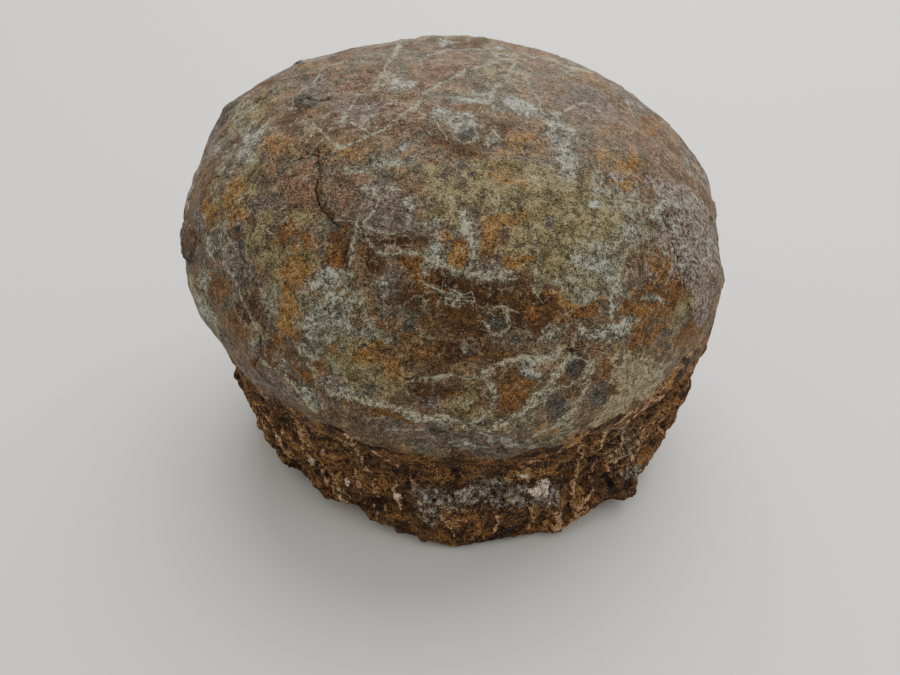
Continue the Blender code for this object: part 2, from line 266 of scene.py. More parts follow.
            (618, 282, 8, 14, 0, 0.8), (655, 300, 10, 3, 0, 0.7), (614, 310, 8, 8, 0, 0.7),
            (622, 330, 20, 4, -35, 0.9), (595, 338, 20, 8, 0, 0.7)),
        "low": ((250, 345, 10, 6, 0, 0.6), (310, 348, 12, 10, 40, 0.6), (470, 350, 14, 8, 0, 0.55),
            (540, 360, 20, 5, -5, 0.9), (290, 370, 26, 5, 45, 0.7), (530, 375, 10, 12, 0, 0.85),
            (545, 390, 24, 4, -50, 0.7), (310, 395, 18, 5, 45, 0.6), (350, 395, 40, 4, 25, 0.7),
            (430, 418, 40, 5, 10, 0.75), (500, 425, 30, 4, -20, 0.5), (465, 446, 20, 6, 0, 0.55),
            (515, 446, 26, 3, 10, 0.8)),
    },
}

# How much of the stray each kind takes, where not all of it. And how each kind is strewn where the
# photograph doesn't see: the size of its patches in millimetres, and how scarce they are.
STRAYING = {"char": 0.4, "cream": 0.6, "crust": 0.7, "cheek": 0.5}
UNSEEN = {
    "rose": (26.0, 0.05), "mauve": (22.0, 0.05), "olive": (28.0, 0.05), "sage": (17.0, 0.30),
    "umber": (24.0, 0.12), "rust": (15.0, 0.28), "amber": (12.0, 0.36),
    "cream": (17.0, 0.55), "cheek": (20.0, 0.52),
    "char": (8.0, 0.46), "crust": (8.0, 0.34)}
UNSEEN_STRENGTH = 0.7

# The pale veins: each one's width in millimetres, and the pixels that it runs through.
VEINS = {
    "crown": (
        (1.0, ((376, 85), (384, 70), (393, 56), (400, 44))),
        (0.7, ((383, 80), (402, 70), (425, 57), (447, 49), (470, 46), (486, 48))),
        (0.7, ((340, 150), (360, 140), (378, 130), (400, 118), (418, 105))),
        (0.7, ((418, 105), (425, 92), (440, 83), (465, 73), (480, 68), (499, 60))),
        (0.7, ((486, 46), (493, 50), (500, 59), (520, 58), (540, 56), (556, 62), (572, 74))),
        (0.9, ((515, 62), (510, 72), (500, 82), (490, 96))),
        (0.5, ((523, 75), (530, 85), (538, 97), (540, 110))),
        (0.5, ((560, 112), (575, 104), (591, 102), (604, 112))),
        (0.7, ((455, 97), (470, 98), (485, 101), (500, 110))),
        (0.5, ((316, 124), (330, 140), (339, 147))),
        (0.5, ((308, 143), (318, 127), (330, 112))),
        (0.6, ((330, 131), (343, 118), (352, 104), (360, 95), (383, 85))),
        (0.4, ((352, 122), (368, 132))),
        (0.4, ((357, 92), (372, 112), (376, 128))),
        (0.5, ((289, 108), (296, 94), (310, 82), (326, 66), (345, 62))),
        (0.3, ((420, 112), (438, 125), (448, 140))),
    ),
    "middle": (
        (0.5, ((341, 171), (358, 171), (385, 165), (411, 163))),
        (0.4, ((360, 189), (385, 187), (404, 191))),
        (0.4, ((375, 190), (379, 202), (372, 215), (364, 223))),
        (0.6, ((337, 220), (355, 222), (366, 227), (367, 238), (374, 250), (386, 255), (402, 252))),
        (0.4, ((366, 226), (385, 233), (404, 236))),
        (0.5, ((402, 252), (416, 253), (428, 258))),
    ),
    "front": (
        (0.4, ((425, 283), (440, 291), (455, 302), (471, 302))),
        (0.3, ((446, 304), (453, 290), (461, 297), (472, 291), (475, 304), (458, 306), (446, 304))),
        (0.5, ((485, 320), (489, 309), (503, 305), (516, 312))),
    ),
    "left": (
        (0.7, ((204, 262), (199, 280), (204, 300), (211, 318), (216, 331))),
        (0.6, ((222, 262), (230, 275), (239, 290), (243, 305), (250, 318), (257, 332))),
        (0.4, ((228, 240), (240, 262), (252, 275), (263, 292))),
        (0.7, ((245, 195), (234, 206), (226, 217), (222, 237))),
        (1.1, ((262, 362), (285, 375), (298, 390), (313, 408))),
    ),
    "seams": (
        (0.6, ((452, 196), (460, 212), (466, 232), (474, 252), (480, 268))),
        (0.8, ((426, 260), (440, 266), (455, 270), (472, 273), (490, 276), (508, 278))),
        (0.7, ((357, 222), (352, 240), (350, 262), (345, 286))),
        (0.8, ((556, 112), (564, 128), (570, 150), (574, 176))),
        (0.5, ((535, 232), (538, 262), (533, 290), (541, 300))),
        (0.7, ((628, 238), (622, 262), (616, 282), (612, 300))),
    ),
    "rings": (
        (0.8, ((455, 127), (464, 120), (475, 126), (476, 138), (466, 144), (456, 138), (455, 127))),
        (0.9, ((488, 145), (487, 135), (493, 131), (499, 136))),
        (0.7, ((489, 309), (485, 322), (490, 334), (502, 336), (510, 326), (508, 312))),
        (0.6, ((566, 366), (578, 360), (590, 364), (586, 378), (573, 384))),
    ),
    "belly": (
        (1.2, ((308, 366), (318, 383), (330, 392), (347, 398), (372, 404), (396, 408), (416, 416))),
        (1.2, ((416, 416), (440, 418), (460, 422), (480, 428))),
        (0.5, ((386, 430), (404, 432), (420, 431))),
        (0.6, ((410, 381), (425, 377), (450, 376), (470, 379), (482, 377))),
    ),
    "low": (
        (1.0, ((484, 372), (497, 366), (512, 362), (530, 358), (549, 360))),
        (1.0, ((484, 379), (492, 388), (495, 399), (490, 411), (481, 420), (468, 425))),
        (1.2, ((488, 433), (505, 424), (520, 415), (532, 404), (541, 392), (554, 380), (571, 358))),
        (0.9, ((593, 364), (591, 380), (584, 395), (575, 410), (565, 418))),
        (0.6, ((545, 406), (547, 396), (558, 388), (576, 384))),
        (0.8, ((520, 446), (540, 433), (556, 424), (573, 422))),
        (0.7, ((480, 434), (492, 440), (505, 444), (520, 448), (540, 447))),
        (0.6, ((628, 400), (641, 387), (655, 373), (667, 364))),
    ),
    "right": (
        (0.6, ((607, 344), (622, 333), (638, 321))),
        (0.7, ((659, 220), (667, 230), (672, 248), (678, 264), (688, 268))),
        (0.4, ((588, 238), (596, 226), (598, 214))),
        (0.4, ((630, 250), (622, 268), (620, 285), (612, 300))),
    ),
}
# The cracks: each one's width and depth in millimetres, and its pixels.
FISSURES = {
    "long fissure": (
        (0.55, 0.6, ((317, 155), (319, 165), (317, 176), (318, 184), (315, 192), (316, 203))),
        (0.45, 0.7, ((316, 203), (322, 212), (328, 218), (336, 228))),
        (0.35, 0.3, ((296, 159), (306, 156), (318, 155), (325, 158)))),
    "beside the seam": ((0.35, 0.5, ((348, 238), (345, 256), (344, 272))),),
    "upper left crack": ((0.7, 0.5, ((309, 98), (318, 100), (326, 97))),),
    "belly crack": ((0.4, 0.4, ((396, 374), (405, 379), (416, 378))),),
    "belly flake": ((0.3, 0.3, ((364, 345), (374, 350), (388, 352))),),
    "low right pit": ((0.9, 0.7, ((572, 351), (577, 354))),),
    "low right crack": ((0.25, 0.3, ((577, 354), (590, 350), (606, 352))),),
    "left nick": ((0.8, 0.7, ((183, 222), (185, 240), (188, 262))),),
    "left crack": ((0.6, 0.5, ((218, 331), (222, 342))),),
    "left notch": ((0.5, 0.5, ((258, 336), (260, 352), (254, 366))),),
    "cheek edge": ((0.25, 0.5, ((662, 214), (670, 236), (678, 262), (683, 290), (690, 318))),),
    "bottom slot": ((0.5, 0.4, ((429, 429), (437, 431), (445, 433))),),
}

# The rock's patches, placed in the same way.
ROCK_PATCHES = {
    "ashen": {
        "left": ((272, 400, 22, 6, 45, 0.4),),
        "front": ((500, 494, 38, 14, 2, 0.95), (546, 494, 22, 12, -6, 0.8), (445, 499, 34, 14, 6, 0.9),
            (428, 515, 18, 11, 20, 0.8)),
        "right": ((625, 445, 26, 16, -60, 0.45), (636, 474, 12, 7, -30, 0.85)),
    },
    "tan": {
        "left": ((262, 430, 24, 5, 62, 0.6), (300, 438, 22, 4, 60, 0.6), (348, 445, 14, 12, 30, 0.45),
            (334, 478, 22, 5, 55, 0.9), (296, 480, 26, 4, 48, 0.5)),
        "front": ((520, 478, 20, 5, -10, 0.55), (548, 520, 6, 14, 0, 0.6), (455, 528, 8, 12, 0, 0.6)),
        "right": ((672, 375, 26, 6, -50, 0.6), (640, 400, 30, 8, -50, 0.65), (578, 437, 26, 10, -30, 0.7),
            (582, 505, 7, 16, 10, 0.7)),
    },
    "white": {
        "left": ((277, 434, 4, 5, 0, 0.6), (311, 464, 5, 3, 20, 1.0), (345, 484, 3, 3, 0, 0.8),
            (337, 494, 12, 2, 55, 0.75)),
        "front": ((520, 478, 10, 3, -20, 0.6), (394, 487, 4, 5, 0, 0.7), (544, 487, 14, 7, -20, 0.9),
            (431, 491, 5, 4, 0, 0.85), (560, 496, 6, 3, 0, 0.6), (398, 497, 4, 3, 0, 1.0),
            (372, 511, 4, 4, 0, 0.9)),
        "right": ((632, 471, 5, 3, 0, 0.6),),
    },
    "black": {
        "left": ((305, 430, 5, 4, 0, 0.8), (271, 446, 3, 4, 0, 0.9), (279, 449, 4, 4, 0, 1.0),
            (336, 476, 4, 5, 0, 0.7)),
        "front": ((529, 455, 14, 3, -10, 0.7), (560, 470, 5, 5, 0, 0.7), (397, 476, 5, 4, 0, 0.6),
            (548, 531, 5, 4, 0, 0.8)),
        "right": ((686, 362, 4, 5, 0, 0.9), (606, 480, 5, 4, 0, 0.8), (611, 489, 7, 6, 0, 1.0)),
    },
}

# Plates and flakes that stand clear of the shell, and cells sunk in it, placed like the patches.
# The last number is the height in millimetres.
RAISED = {
    "right cheek": ((694, 236, 22, 52, -8, 0.8), (672, 196, 20, 16, 30, 0.5), (700, 300, 12, 34, 0, 0.6)),
    "right edge scrap": ((712, 212, 6, 14, 0, 0.7), (716, 278, 6, 18, 0, 0.7)),
    "left margin": ((187, 240, 8, 22, 0, 1.1), (190, 300, 8, 20, -15, 0.5)),
    "left cell": ((212, 290, 12, 18, -10, -0.5), (248, 308, 12, 14, 0, -0.4)),
    "upper left flake": ((232, 108, 18, 4, -42, 0.6), (300, 63, 8, 4, -20, 0.6)),
    "dark plate": ((303, 101, 13, 8, 0, 0.6),),
    "left of the fissure": ((298, 186, 18, 24, 0, 0.3),),
    "middle plate": ((385, 212, 34, 26, 5, 0.4),),
    "belly flake": ((380, 344, 15, 8, 5, 0.6),),
    "front circle": ((497, 322, 11, 11, 0, -0.4),),
    "cream plate": ((640, 376, 24, 22, -50, 0.5),),
    "low cell": ((577, 370, 11, 12, -30, -0.5), (558, 408, 14, 13, 0, -0.5), (604, 380, 12, 20, 20, -0.4)),
    "low ring": ((466, 398, 20, 14, 5, -0.4),),
    "low middle cell": ((518, 388, 16, 20, 0, -0.4),),
    "dark crown spot": ((560, 136, 8, 12, -20, -0.5),),
}

# The rock's ribs: each one's width and height in millimetres, and its pixels.
RIBS = {
    "left": (
        (1.0, 1.0, ((313, 457), (318, 472), (324, 485), (331, 493), (337, 498))),
        (0.9, 0.9, ((322, 450), (327, 467), (334, 480), (343, 491), (349, 500))),
        (0.7, 0.7, ((318, 474), (326, 487), (333, 496))),
        (1.0, 0.8, ((247, 392), (253, 403), (261, 419), (268, 433))),
        (0.9, 0.8, ((266, 416), (277, 432), (283, 446), (291, 458))),
        (1.0, 0.9, ((296, 430), (301, 446), (308, 457))),
        (1.0, 0.9, ((346, 434), (354, 446), (361, 459), (369, 474), (374, 484))),
        (0.8, 0.8, ((352, 470), (360, 486), (368, 498), (372, 508))),
    ),
    "front": (
        (0.9, 0.9, ((374, 486), (379, 498), (384, 510))),
        (0.9, 0.8, ((392, 488), (396, 500), (401, 512))),
        (0.8, 0.6, ((372, 452), (386, 462), (398, 470))),
    ),
    "foot": (
        (1.0, 0.9, ((409, 480), (415, 494), (421, 512), (431, 524))),
        (1.0, 0.9, ((440, 516), (447, 526), (453, 538))),
        (1.0, 0.9, ((499, 518), (497, 528), (494, 537))),
        (1.0, 0.9, ((530, 508), (533, 520), (530, 532))),
        (2.0, 1.4, ((556, 510), (559, 522), (561, 531))),
        (1.0, 1.1, ((590, 491), (584, 507), (574, 521), (567, 531))),
    ),
    "right": (
        (1.2, 1.2, ((583, 443), (577, 464), (574, 486), (576, 506))),
        (1.0, 1.0, ((600, 456), (594, 474), (592, 490))),
        (0.9, 0.9, ((700, 344), (688, 356), (673, 370), (661, 382), (648, 395))),
        (1.0, 0.9, ((676, 381), (668, 392), (652, 400), (638, 414), (627, 424))),
        (1.0, 0.9, ((637, 405), (625, 417), (610, 430), (601, 443), (592, 456))),
        (0.9, 0.9, ((670, 416), (664, 430), (657, 444), (649, 458))),
        (0.8, 0.8, ((655, 420), (646, 434), (637, 448), (630, 462))),
        (0.9, 0.9, ((624, 440), (617, 456), (610, 470))),
    ),
    "under the rim": (
        (0.8, 0.6, ((560, 452), (540, 462), (520, 468))),
    ),
}

# The rock's beds dip towards the front, so they run level there and slant down the sides.
BED_NORMAL = Vector((0.05, -0.66, 0.75)).normalized()
BED_STRETCH = 7.0

COLOURS = {
    "shell brown": (0.108, 0.066, 0.035),
    "shell grey": (0.108, 0.090, 0.062),
    "shell warm": (0.158, 0.090, 0.043),
    "olive dark": (0.120, 0.096, 0.045),
    "olive": (0.178, 0.148, 0.070),
    "sage": (0.205, 0.206, 0.155),
    "rose dark": (0.096, 0.054, 0.031),
    "rose": (0.168, 0.092, 0.055),
    "rust dark": (0.080, 0.033, 0.008),
    "rust": (0.156, 0.072, 0.017),
    "amber": (0.212, 0.122, 0.038),
    "umber": (0.040, 0.017, 0.005),
    "umber warm": (0.074, 0.033, 0.010),
    "crust dark": (0.158, 0.160, 0.128),
    "crust": (0.310, 0.314, 0.266),
    "fleck": (0.380, 0.375, 0.310),
    "char": (0.048, 0.044, 0.036),
    "cream dark": (0.165, 0.132, 0.074),
    "cream": (0.285, 0.236, 0.142),
    "mauve dark": (0.070, 0.050, 0.040),
    "mauve": (0.138, 0.102, 0.086),
    "cheek": (0.190, 0.145, 0.122),
    "vein pale": (0.300, 0.278, 0.190),
    "vein dark": (0.155, 0.140, 0.096),
    "vein": (0.240, 0.225, 0.158),
    "pit": (0.010, 0.006, 0.003),
    "rock brown": (0.066, 0.030, 0.010),
    "rock dark": (0.020, 0.008, 0.003),
    "rock rust": (0.132, 0.060, 0.017),
    "rock tan": (0.242, 0.134, 0.052),
    "rock rib": (0.345, 0.212, 0.120),
    "rock pale": (0.520, 0.440, 0.340),
    "rock green": (0.200, 0.205, 0.155),
    "rock mauve": (0.118, 0.092, 0.082),
    "floor": (0.70, 0.70, 0.68),
}

# The lights: each one's place, what it aims at, its size in metres, its power and its colour.
LIGHTS = {
    "overhead": ((0.25, 0.90, 1.15), (0.0, 0.28, 0.0), 1.9, 34.0, (1.0, 0.99, 0.97)),
    "fill": ((0.9, -0.5, 0.9), (0.0, 0.0, 0.05), 0.8, 2.0, (1.0, 0.98, 0.95)),
}
ROOM_COLOUR = (1.0, 0.98, 0.93, 1.0)
ROOM_STRENGTH = 0.72
FLOOR_SIZE = 6.0

# The shell's coats of colour, from the lowest up: the kind of patch, the plates' number that frays
# it, the values at which it starts and is full, its strength, its two tones, and what mixes them.
SHELL_COATS = (
    ("rose", 2, 0.14, 0.60, 0.85, "rose dark", "rose", "blotch"),
    ("mauve", 0, 0.14, 0.58, 0.85, "mauve dark", "mauve", "blotch"),
    ("olive", 1, 0.12, 0.58, 0.92, "olive dark", "olive", "mid"),
    ("sage", 1, 0.16, 0.60, 0.85, "olive dark", "sage", "blotch"),
    ("umber", 2, 0.14, 0.58, 0.92, "umber", "umber warm", "blotch"),
    ("rust", 0, 0.16, 0.62, 0.95, "rust dark", "rust", "blotch"),
    ("amber", 2, 0.16, 0.66, 0.95, "rust", "amber", "blotch"),
    ("cheek", 0, 0.34, 0.50, 0.90, "mauve dark", "cheek", "fine"),
    ("cream", 1, 0.26, 0.50, 0.92, "cream dark", "cream", "blotch"),
    ("char", 2, 0.36, 0.54, 0.88, "char", "char", "blotch"),
)


# -- Placing by the photograph --
def ray_through(pixel):
    """The direction in which the photograph's camera sees a pixel."""
    across = (pixel[0] - PHOTO_WIDTH / 2) / FOCAL_PIXELS
    down = (pixel[1] - PHOTO_HEIGHT / 2) / FOCAL_PIXELS
    level, fall = math.cos(CAMERA_PITCH), math.sin(CAMERA_PITCH)
    return Vector((across, level - down * fall, -(fall + down * level))).normalized()


def on_surface(tree, pixel, towards):
    """The nearest pixel on the way to another whose ray meets the surface, and where it does."""
    for step in range(SEARCH_STEPS + 1):
        part = step / SEARCH_STEPS
        tried = (pixel[0] + (towards[0] - pixel[0]) * part, pixel[1] + (towards[1] - pixel[1]) * part)
        hit = tree.ray_cast(CAMERA_PLACE, ray_through(tried))[0]
        if hit is not None:
            return tried, hit
    raise ValueError(f"pixel {pixel} is not on the object")


# -- Fields over points --
def waves(points, size, shift=0.0):
    """Smooth noise from -1 to 1 at each point, with lumps about as large as size."""
    places = (points / size + shift).tolist()
    return np.array([noise.noise(place) for place in places])


def swell(points, wave):
    """Smooth noise with a height, given in millimetres as SHELL_WAVES lists it."""
    height, size, shift = wave
    return height * MM * waves(points, size * MM, shift)


def drift(points, size, shifts):
    """Noise in three directions, with lumps of a size in millimetres."""
    return np.stack([waves(points, size * MM, shift) for shift in shifts], axis=1)


def cells(points, size, shift=0.0):
    """The distances to the nearest two scattered seeds, in sizes, and the nearest seed."""
    nearest, second, seeds = [], [], []
    for place in (points / size + shift).tolist():
        distances, found = noise.voronoi(place)
        nearest.append(distances[0])
        second.append(distances[1])
        seeds.append(found[0])
    return np.array(nearest), np.array(second), np.array(seeds)


def eased(values, low, high):
    """0 below low, 1 above high, and a smooth rise between."""
    part = np.clip((values - low) / (high - low), 0.0, 1.0)
    return part * part * (3.0 - 2.0 * part)


def along_lines(points, lines, tree, home=EGG_HOME):
    """The nearest line's signed distance at each point, and that line's half-width, in metres."""
    best = np.full(len(points), 1.0)
    signed = np.full(len(points), 1.0)
    half = np.full(len(points), MM)
    for width, pixels in lines:
        corners = [np.array(on_surface(tree, pixel, home)[1]) for pixel in pixels]
        for start, end in zip(corners, corners[1:]):
            run = end - start
            part = np.clip((points - start) @ run / (run @ run), 0.0, 1.0)
            offset = points - start - part[:, None] * run
            distance = np.linalg.norm(offset, axis=1)
            out = tree.find_nearest(Vector((start + end) / 2))[1]
            side = np.cross(run / np.linalg.norm(run), np.array(out))
            closer = distance < best
            best = np.where(closer, distance, best)
            signed = np.where(closer, np.where(offset @ side < 0.0, -distance, distance), signed)
            half = np.where(closer, width * MM / 2, half)
    return best, signed, half


def patch_field(points, patches, tree, home=EGG_HOME):
    """How strongly the patches of one kind lie on each point, from 0 to 1 and past their edges."""
    field = np.zeros(len(points))
    for x, y, reach, breadth, slant, strength in patches:
        turn = math.radians(slant)
        (x, y), centre = on_surface(tree, (x, y), home)
        ends = []
        for length, angle in ((reach, turn), (breadth, turn + math.pi / 2)):
            step = (length * math.cos(angle), length * math.sin(angle))
            one = on_surface(tree, (x + step[0], y + step[1]), (x, y))[1]
            two = on_surface(tree, (x - step[0], y - step[1]), (x, y))[1]
            ends.append((one - two) / 2)
        axes = np.array([*ends, ends[0].cross(ends[1]).normalized() * max(e.length for e in ends)])
        local = (points - np.array(centre)) @ np.linalg.inv(axes)
        field = np.maximum(field, strength * (1.0 - eased(np.linalg.norm(local, axis=1), *PATCH_EDGE)))
    return field


def listed(table):
    """All that a table lists, whatever the place that it is listed under."""
    return [entry for entries in table.values() for entry in entries]


# -- Meshes --
def welded(node):
    """A copy of a CAD node's mesh with its facets joined."""
    bm = bmesh.new()
    bm.from_mesh(node.data)
    bmesh.ops.remove_doubles(bm, verts=bm.verts, dist=WELD)
    mesh = bpy.data.meshes.new(node.name + " welded")
    bm.to_mesh(mesh)
    bm.free()
    return mesh


def applied(mesh, name, *modifiers):
    """A mesh with modifiers applied, each given as (type, settings)."""
    holder = bpy.data.objects.new(name, mesh)
    bpy.context.scene.collection.objects.link(holder)
    for kind, settings in modifiers:
        modifier = holder.modifiers.new(kind.lower(), kind)
        for setting, value in settings.items():
            setattr(modifier, setting, value)
    bpy.context.view_layer.update()
    made = bpy.data.meshes.new_from_object(holder.evaluated_get(bpy.context.evaluated_depsgraph_get()))
    bpy.data.objects.remove(holder)
    return made


def points_of(mesh, kind="co"):
    """A mesh's points, or their normals."""
    flat = np.empty(len(mesh.vertices) * 3, np.float32)
    mesh.vertices.foreach_get(kind, flat)
    return flat.reshape(-1, 3).astype(float)


def move_points(mesh, points):
    """Move a mesh's points, but not out of the CAD's box."""
    kept = np.clip(points, np.array(CAD_LOW), np.array(CAD_HIGH))
    mesh.vertices.foreach_set("co", kept.astype(np.float32).ravel())
    mesh.update()


def tree_of(mesh):
    mesh.calc_loop_triangles()
    corners = [vertex.co for vertex in mesh.vertices]
    return BVHTree.FromPolygons(corners, [tuple(t.vertices) for t in mesh.loop_triangles])


def write_field(mesh, name, values):
    attribute = mesh.attributes.new(name, "FLOAT", "POINT")
    attribute.data.foreach_set("value", values.astype(np.float32))


def deep_inside(tree, place, depth):
    """Whether a place lies further inside a closed surface than a depth."""
    near, out, _, distance = tree.find_nearest(place)
    return distance > depth and (place - near).dot(out) < 0.0


def strays(bm):
    """The corners that aren't joined to the mesh's largest piece."""
    left, largest = set(bm.verts), set()
    while left:
        piece, reached = set(), {left.pop()}
        while reached:
            piece |= reached
            reached = {link.other_vert(vert) for vert in reached for link in vert.link_edges} - piece
        left -= piece
        largest = max(largest, piece, key=len)
    return [vert for vert in bm.verts if vert not in largest]


def cut_away(mesh, hidden, fanned):
    """Delete the facets whose corners are all hidden and what that leaves loose. Close the holes."""
    bm = bmesh.new()
    bm.from_mesh(mesh)
    unseen = {vert for vert in bm.verts if hidden(vert.co)}
    faces = [face for face in bm.faces if all(vert in unseen for vert in face.verts)]
    bmesh.ops.delete(bm, geom=faces, context="FACES")
    bmesh.ops.delete(bm, geom=strays(bm), context="VERTS")
    filled = bmesh.ops.holes_fill(bm, edges=[edge for edge in bm.edges if edge.is_boundary], sides=0)
    if fanned:
        bmesh.ops.poke(bm, faces=filled["faces"])
    bm.to_mesh(mesh)
    bm.free()


def write_lines(mesh, name, points, lines, tree):
    """For the material: each point's distance from the nearest line, and that line's half-width."""
    distance, signed, half = along_lines(points, lines, tree)
    write_field(mesh, name + "_signed", signed / MM)
    write_field(mesh, name + "_near", distance / MM)
    write_field(mesh, name + "_half", half / MM)


def ball_of_quads(count, focus):
    """A sphere of quads, closest together where the focus points, and its corners' directions."""
    bm = bmesh.new()
    bmesh.ops.create_cube(bm, size=2.0)
    bmesh.ops.subdivide_edges(bm, edges=bm.edges, cuts=count - 1, use_grid_fill=True)
    mesh = bpy.data.meshes.new("ball")
    bm.to_mesh(mesh)
    bm.free()
    directions = np.tan(points_of(mesh) * math.pi / 4)
    directions /= np.linalg.norm(directions, axis=1)[:, None]
    directions += np.array(focus)
    return mesh, directions / np.linalg.norm(directions, axis=1)[:, None]


def placed_piece(name, mesh, material):
    """An object in the scene with this mesh and material."""
    mesh.materials.clear()
    mesh.materials.append(material)
    piece = bpy.data.objects.new(name, mesh)
    bpy.context.scene.collection.objects.link(piece)
    return piece


def write_shell_patches(mesh, skin, outward, strayed, tree):
    """Each kind's patches as placed, and strewn ones on the side that the photograph doesn't see."""
    facing = np.array(CAMERA_PLACE) - skin
    facing = np.sum(outward * facing, axis=1) / np.linalg.norm(facing, axis=1)
    unseen = 1.0 - eased(facing, *UNSEEN_RANGE)
    for number, (kind, places) in enumerate(PATCHES.items()):
        field = patch_field(skin + STRAYING.get(kind, 1.0) * strayed, listed(places), tree)
        size, scarce = UNSEEN[kind]
        shift = 3.7 * number
        strewn = waves(skin + strayed, size * MM, shift) + 0.4 * waves(skin, size / 3 * MM, shift)
        strewn = UNSEEN_STRENGTH * eased(strewn, scarce - 0.10, scarce + 0.40)
        write_field(mesh, kind, np.maximum(field, unseen * strewn))


def dress_egg():
    """The shell: a sphere cast onto the smoothed CAD egg, with its patches, lines and relief."""
    levels = {"levels": EGG_SMOOTHING, "render_levels": EGG_SMOOTHING}
    tree = tree_of(applied(welded(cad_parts["egg"]), "smooth egg", ("SUBSURF", levels)))
    low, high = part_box("egg")
    centre = (low + high) / 2
    mesh, outward = ball_of_quads(EGG_CELLS, EGG_FOCUS)
    reaches = [tree.ray_cast(centre, Vector(d))[3] for d in outward.tolist()]
    skin = np.array(centre) + outward * np.array(reaches)[:, None]

    wander = drift(skin, *WANDER) + 0.5 * drift(skin, *WANDER_FINE)
    broad = drift(skin, *WANDER_BROAD)
    write_shell_patches(mesh, skin, outward, PATCH_STRAY * MM * wander + PATCH_STRAY * MM * broad, tree)
    write_lines(mesh, "vein", skin + VEIN_STRAY * MM * wander, listed(VEINS), tree)

    relief = sum(swell(skin, wave) for wave in SHELL_WAVES)
    nearest, second, seeds = cells(skin + PLATE_STRAY * MM * wander, SHELL_PLATE * MM, 2.0)
    relief += SHELL_PLATE_STEP * MM * np.sin(seeds @ SHELL_SEED_TURN)
    relief -= SHELL_PLATE_GAP * MM * (1.0 - eased(second - nearest, 0.0, 0.10))
    jagged = 0.6 * wander + 0.5 * drift(skin, *WANDER_JAGGED)
    first, last = FISSURE_EDGE
    for width, depth, pixels in listed(FISSURES):
        distance, _, _ = along_lines(skin + MM * jagged, [(width, pixels)], tree)
        relief -= depth * MM * (1.0 - eased(distance, first * MM, last * MM))
    for *patch, height in listed(RAISED):
        place = skin + RAISED_STRAY * MM * wander + RAISED_STRAY_BROAD * MM * broad
        field = patch_field(place, [(*patch, 1.0)], tree)
        relief += height * MM * eased(field, *RAISED_EDGE)
    cracks = [(width, pixels) for width, _, pixels in listed(FISSURES)]
    write_lines(mesh, "crack", skin + MM * jagged, cracks, tree)
    move_points(mesh, skin + outward * (relief - SHELL_INSET * MM)[:, None])
    mesh.shade_smooth()
    egg = placed_piece("fossil_egg", mesh, shell_material())
    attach(egg, "root")
    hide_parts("egg")
    return egg


def rim_part(place):
    """The numbered slice of the rim that a place belongs to."""
    return int(math.atan2(place.x, -place.y) / math.tau * RIM_PARTS)


def filled_seat(rock, egg):
    """The rock's and the egg's facets in one mesh, the egg drawn in wherever it stands clear."""
    bm = bmesh.new()
    bm.from_mesh(rock)
    rims = {}
    for vert in bm.verts:
        part = rim_part(vert.co)
        rims[part] = max(rims.get(part, 0.0), vert.co.z)
    bm.from_mesh(egg)
    bm.verts.ensure_lookup_table()
    middle = Vector(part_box("egg")[0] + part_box("egg")[1]) / 2
    for vert in bm.verts[len(rock.vertices):]:
        above = np.array(vert.co.z - rims[rim_part(vert.co)])
        lip = 1.0 - float(eased(above, *LIP_RANGE))
        sunk = float(eased(above, *SUNK_RANGE))
        vert.co += (vert.co - middle).normalized() * (SEAT_FILL * lip - SEAT_SINK * sunk)
    mesh = bpy.data.meshes.new("filled seat")
    bm.to_mesh(mesh)
    bm.free()
    return mesh


def rock_relief(skin, wander, fields, fibrous, tree):
    """The rock's relief in metres, its pits and its ribs."""
    beds = skin @ np.array(BED_NORMAL)
    flat = skin - beds[:, None] * np.array(BED_NORMAL)
    stretched = flat / BED_STRETCH + beds[:, None] * np.array(BED_NORMAL)
    streaks = sum(part * waves(stretched, size * MM, shift) for part, size, shift in ROCK_STREAKS)
    height, size, shift = ROCK_KNOBS
    knobs = height * MM * (np.abs(waves(skin, size * MM, shift)) - KNOB_LEVEL)
    grain = swell(skin, ROCK_GRAIN)
    seeds, _, _ = cells(skin + grain[:, None], PIT_SIZE * MM, 5.0)
    pits = 1.0 - eased(seeds, *PIT_EDGE)
    pits *= eased(waves(skin, PIT_CLUSTER * MM, 12.0), -0.15, 0.25)
    relief = swell(skin, ROCK_LUMPS) + knobs * (1.1 - 0.7 * fibrous)
    relief += STREAK_HEIGHT * MM * streaks * fibrous + grain
    ribs = np.zeros(len(skin))
    place = skin + RIB_STRAY * MM * wander
    first, last = RIB_EDGE
    for width, height, pixels in listed(RIBS):
        distance, _, half = along_lines(place, [(width, pixels)], tree, ROCK_HOME)
        crest = 1.0 - eased(distance, first * half, last * half)
        relief += height * MM * crest
        ribs = np.maximum(ribs, crest)
    marks = BLACK_DEPTH * MM * fields["black"]
    relief -= PIT_DEPTH * MM * pits + marks - WHITE_HEIGHT * MM * fields["white"]
    relief -= ROCK_INSET * MM
    reach = ROCK_REACH * MM
    return np.where(relief > 0.0, reach * np.tanh(relief / reach), relief), pits, ribs


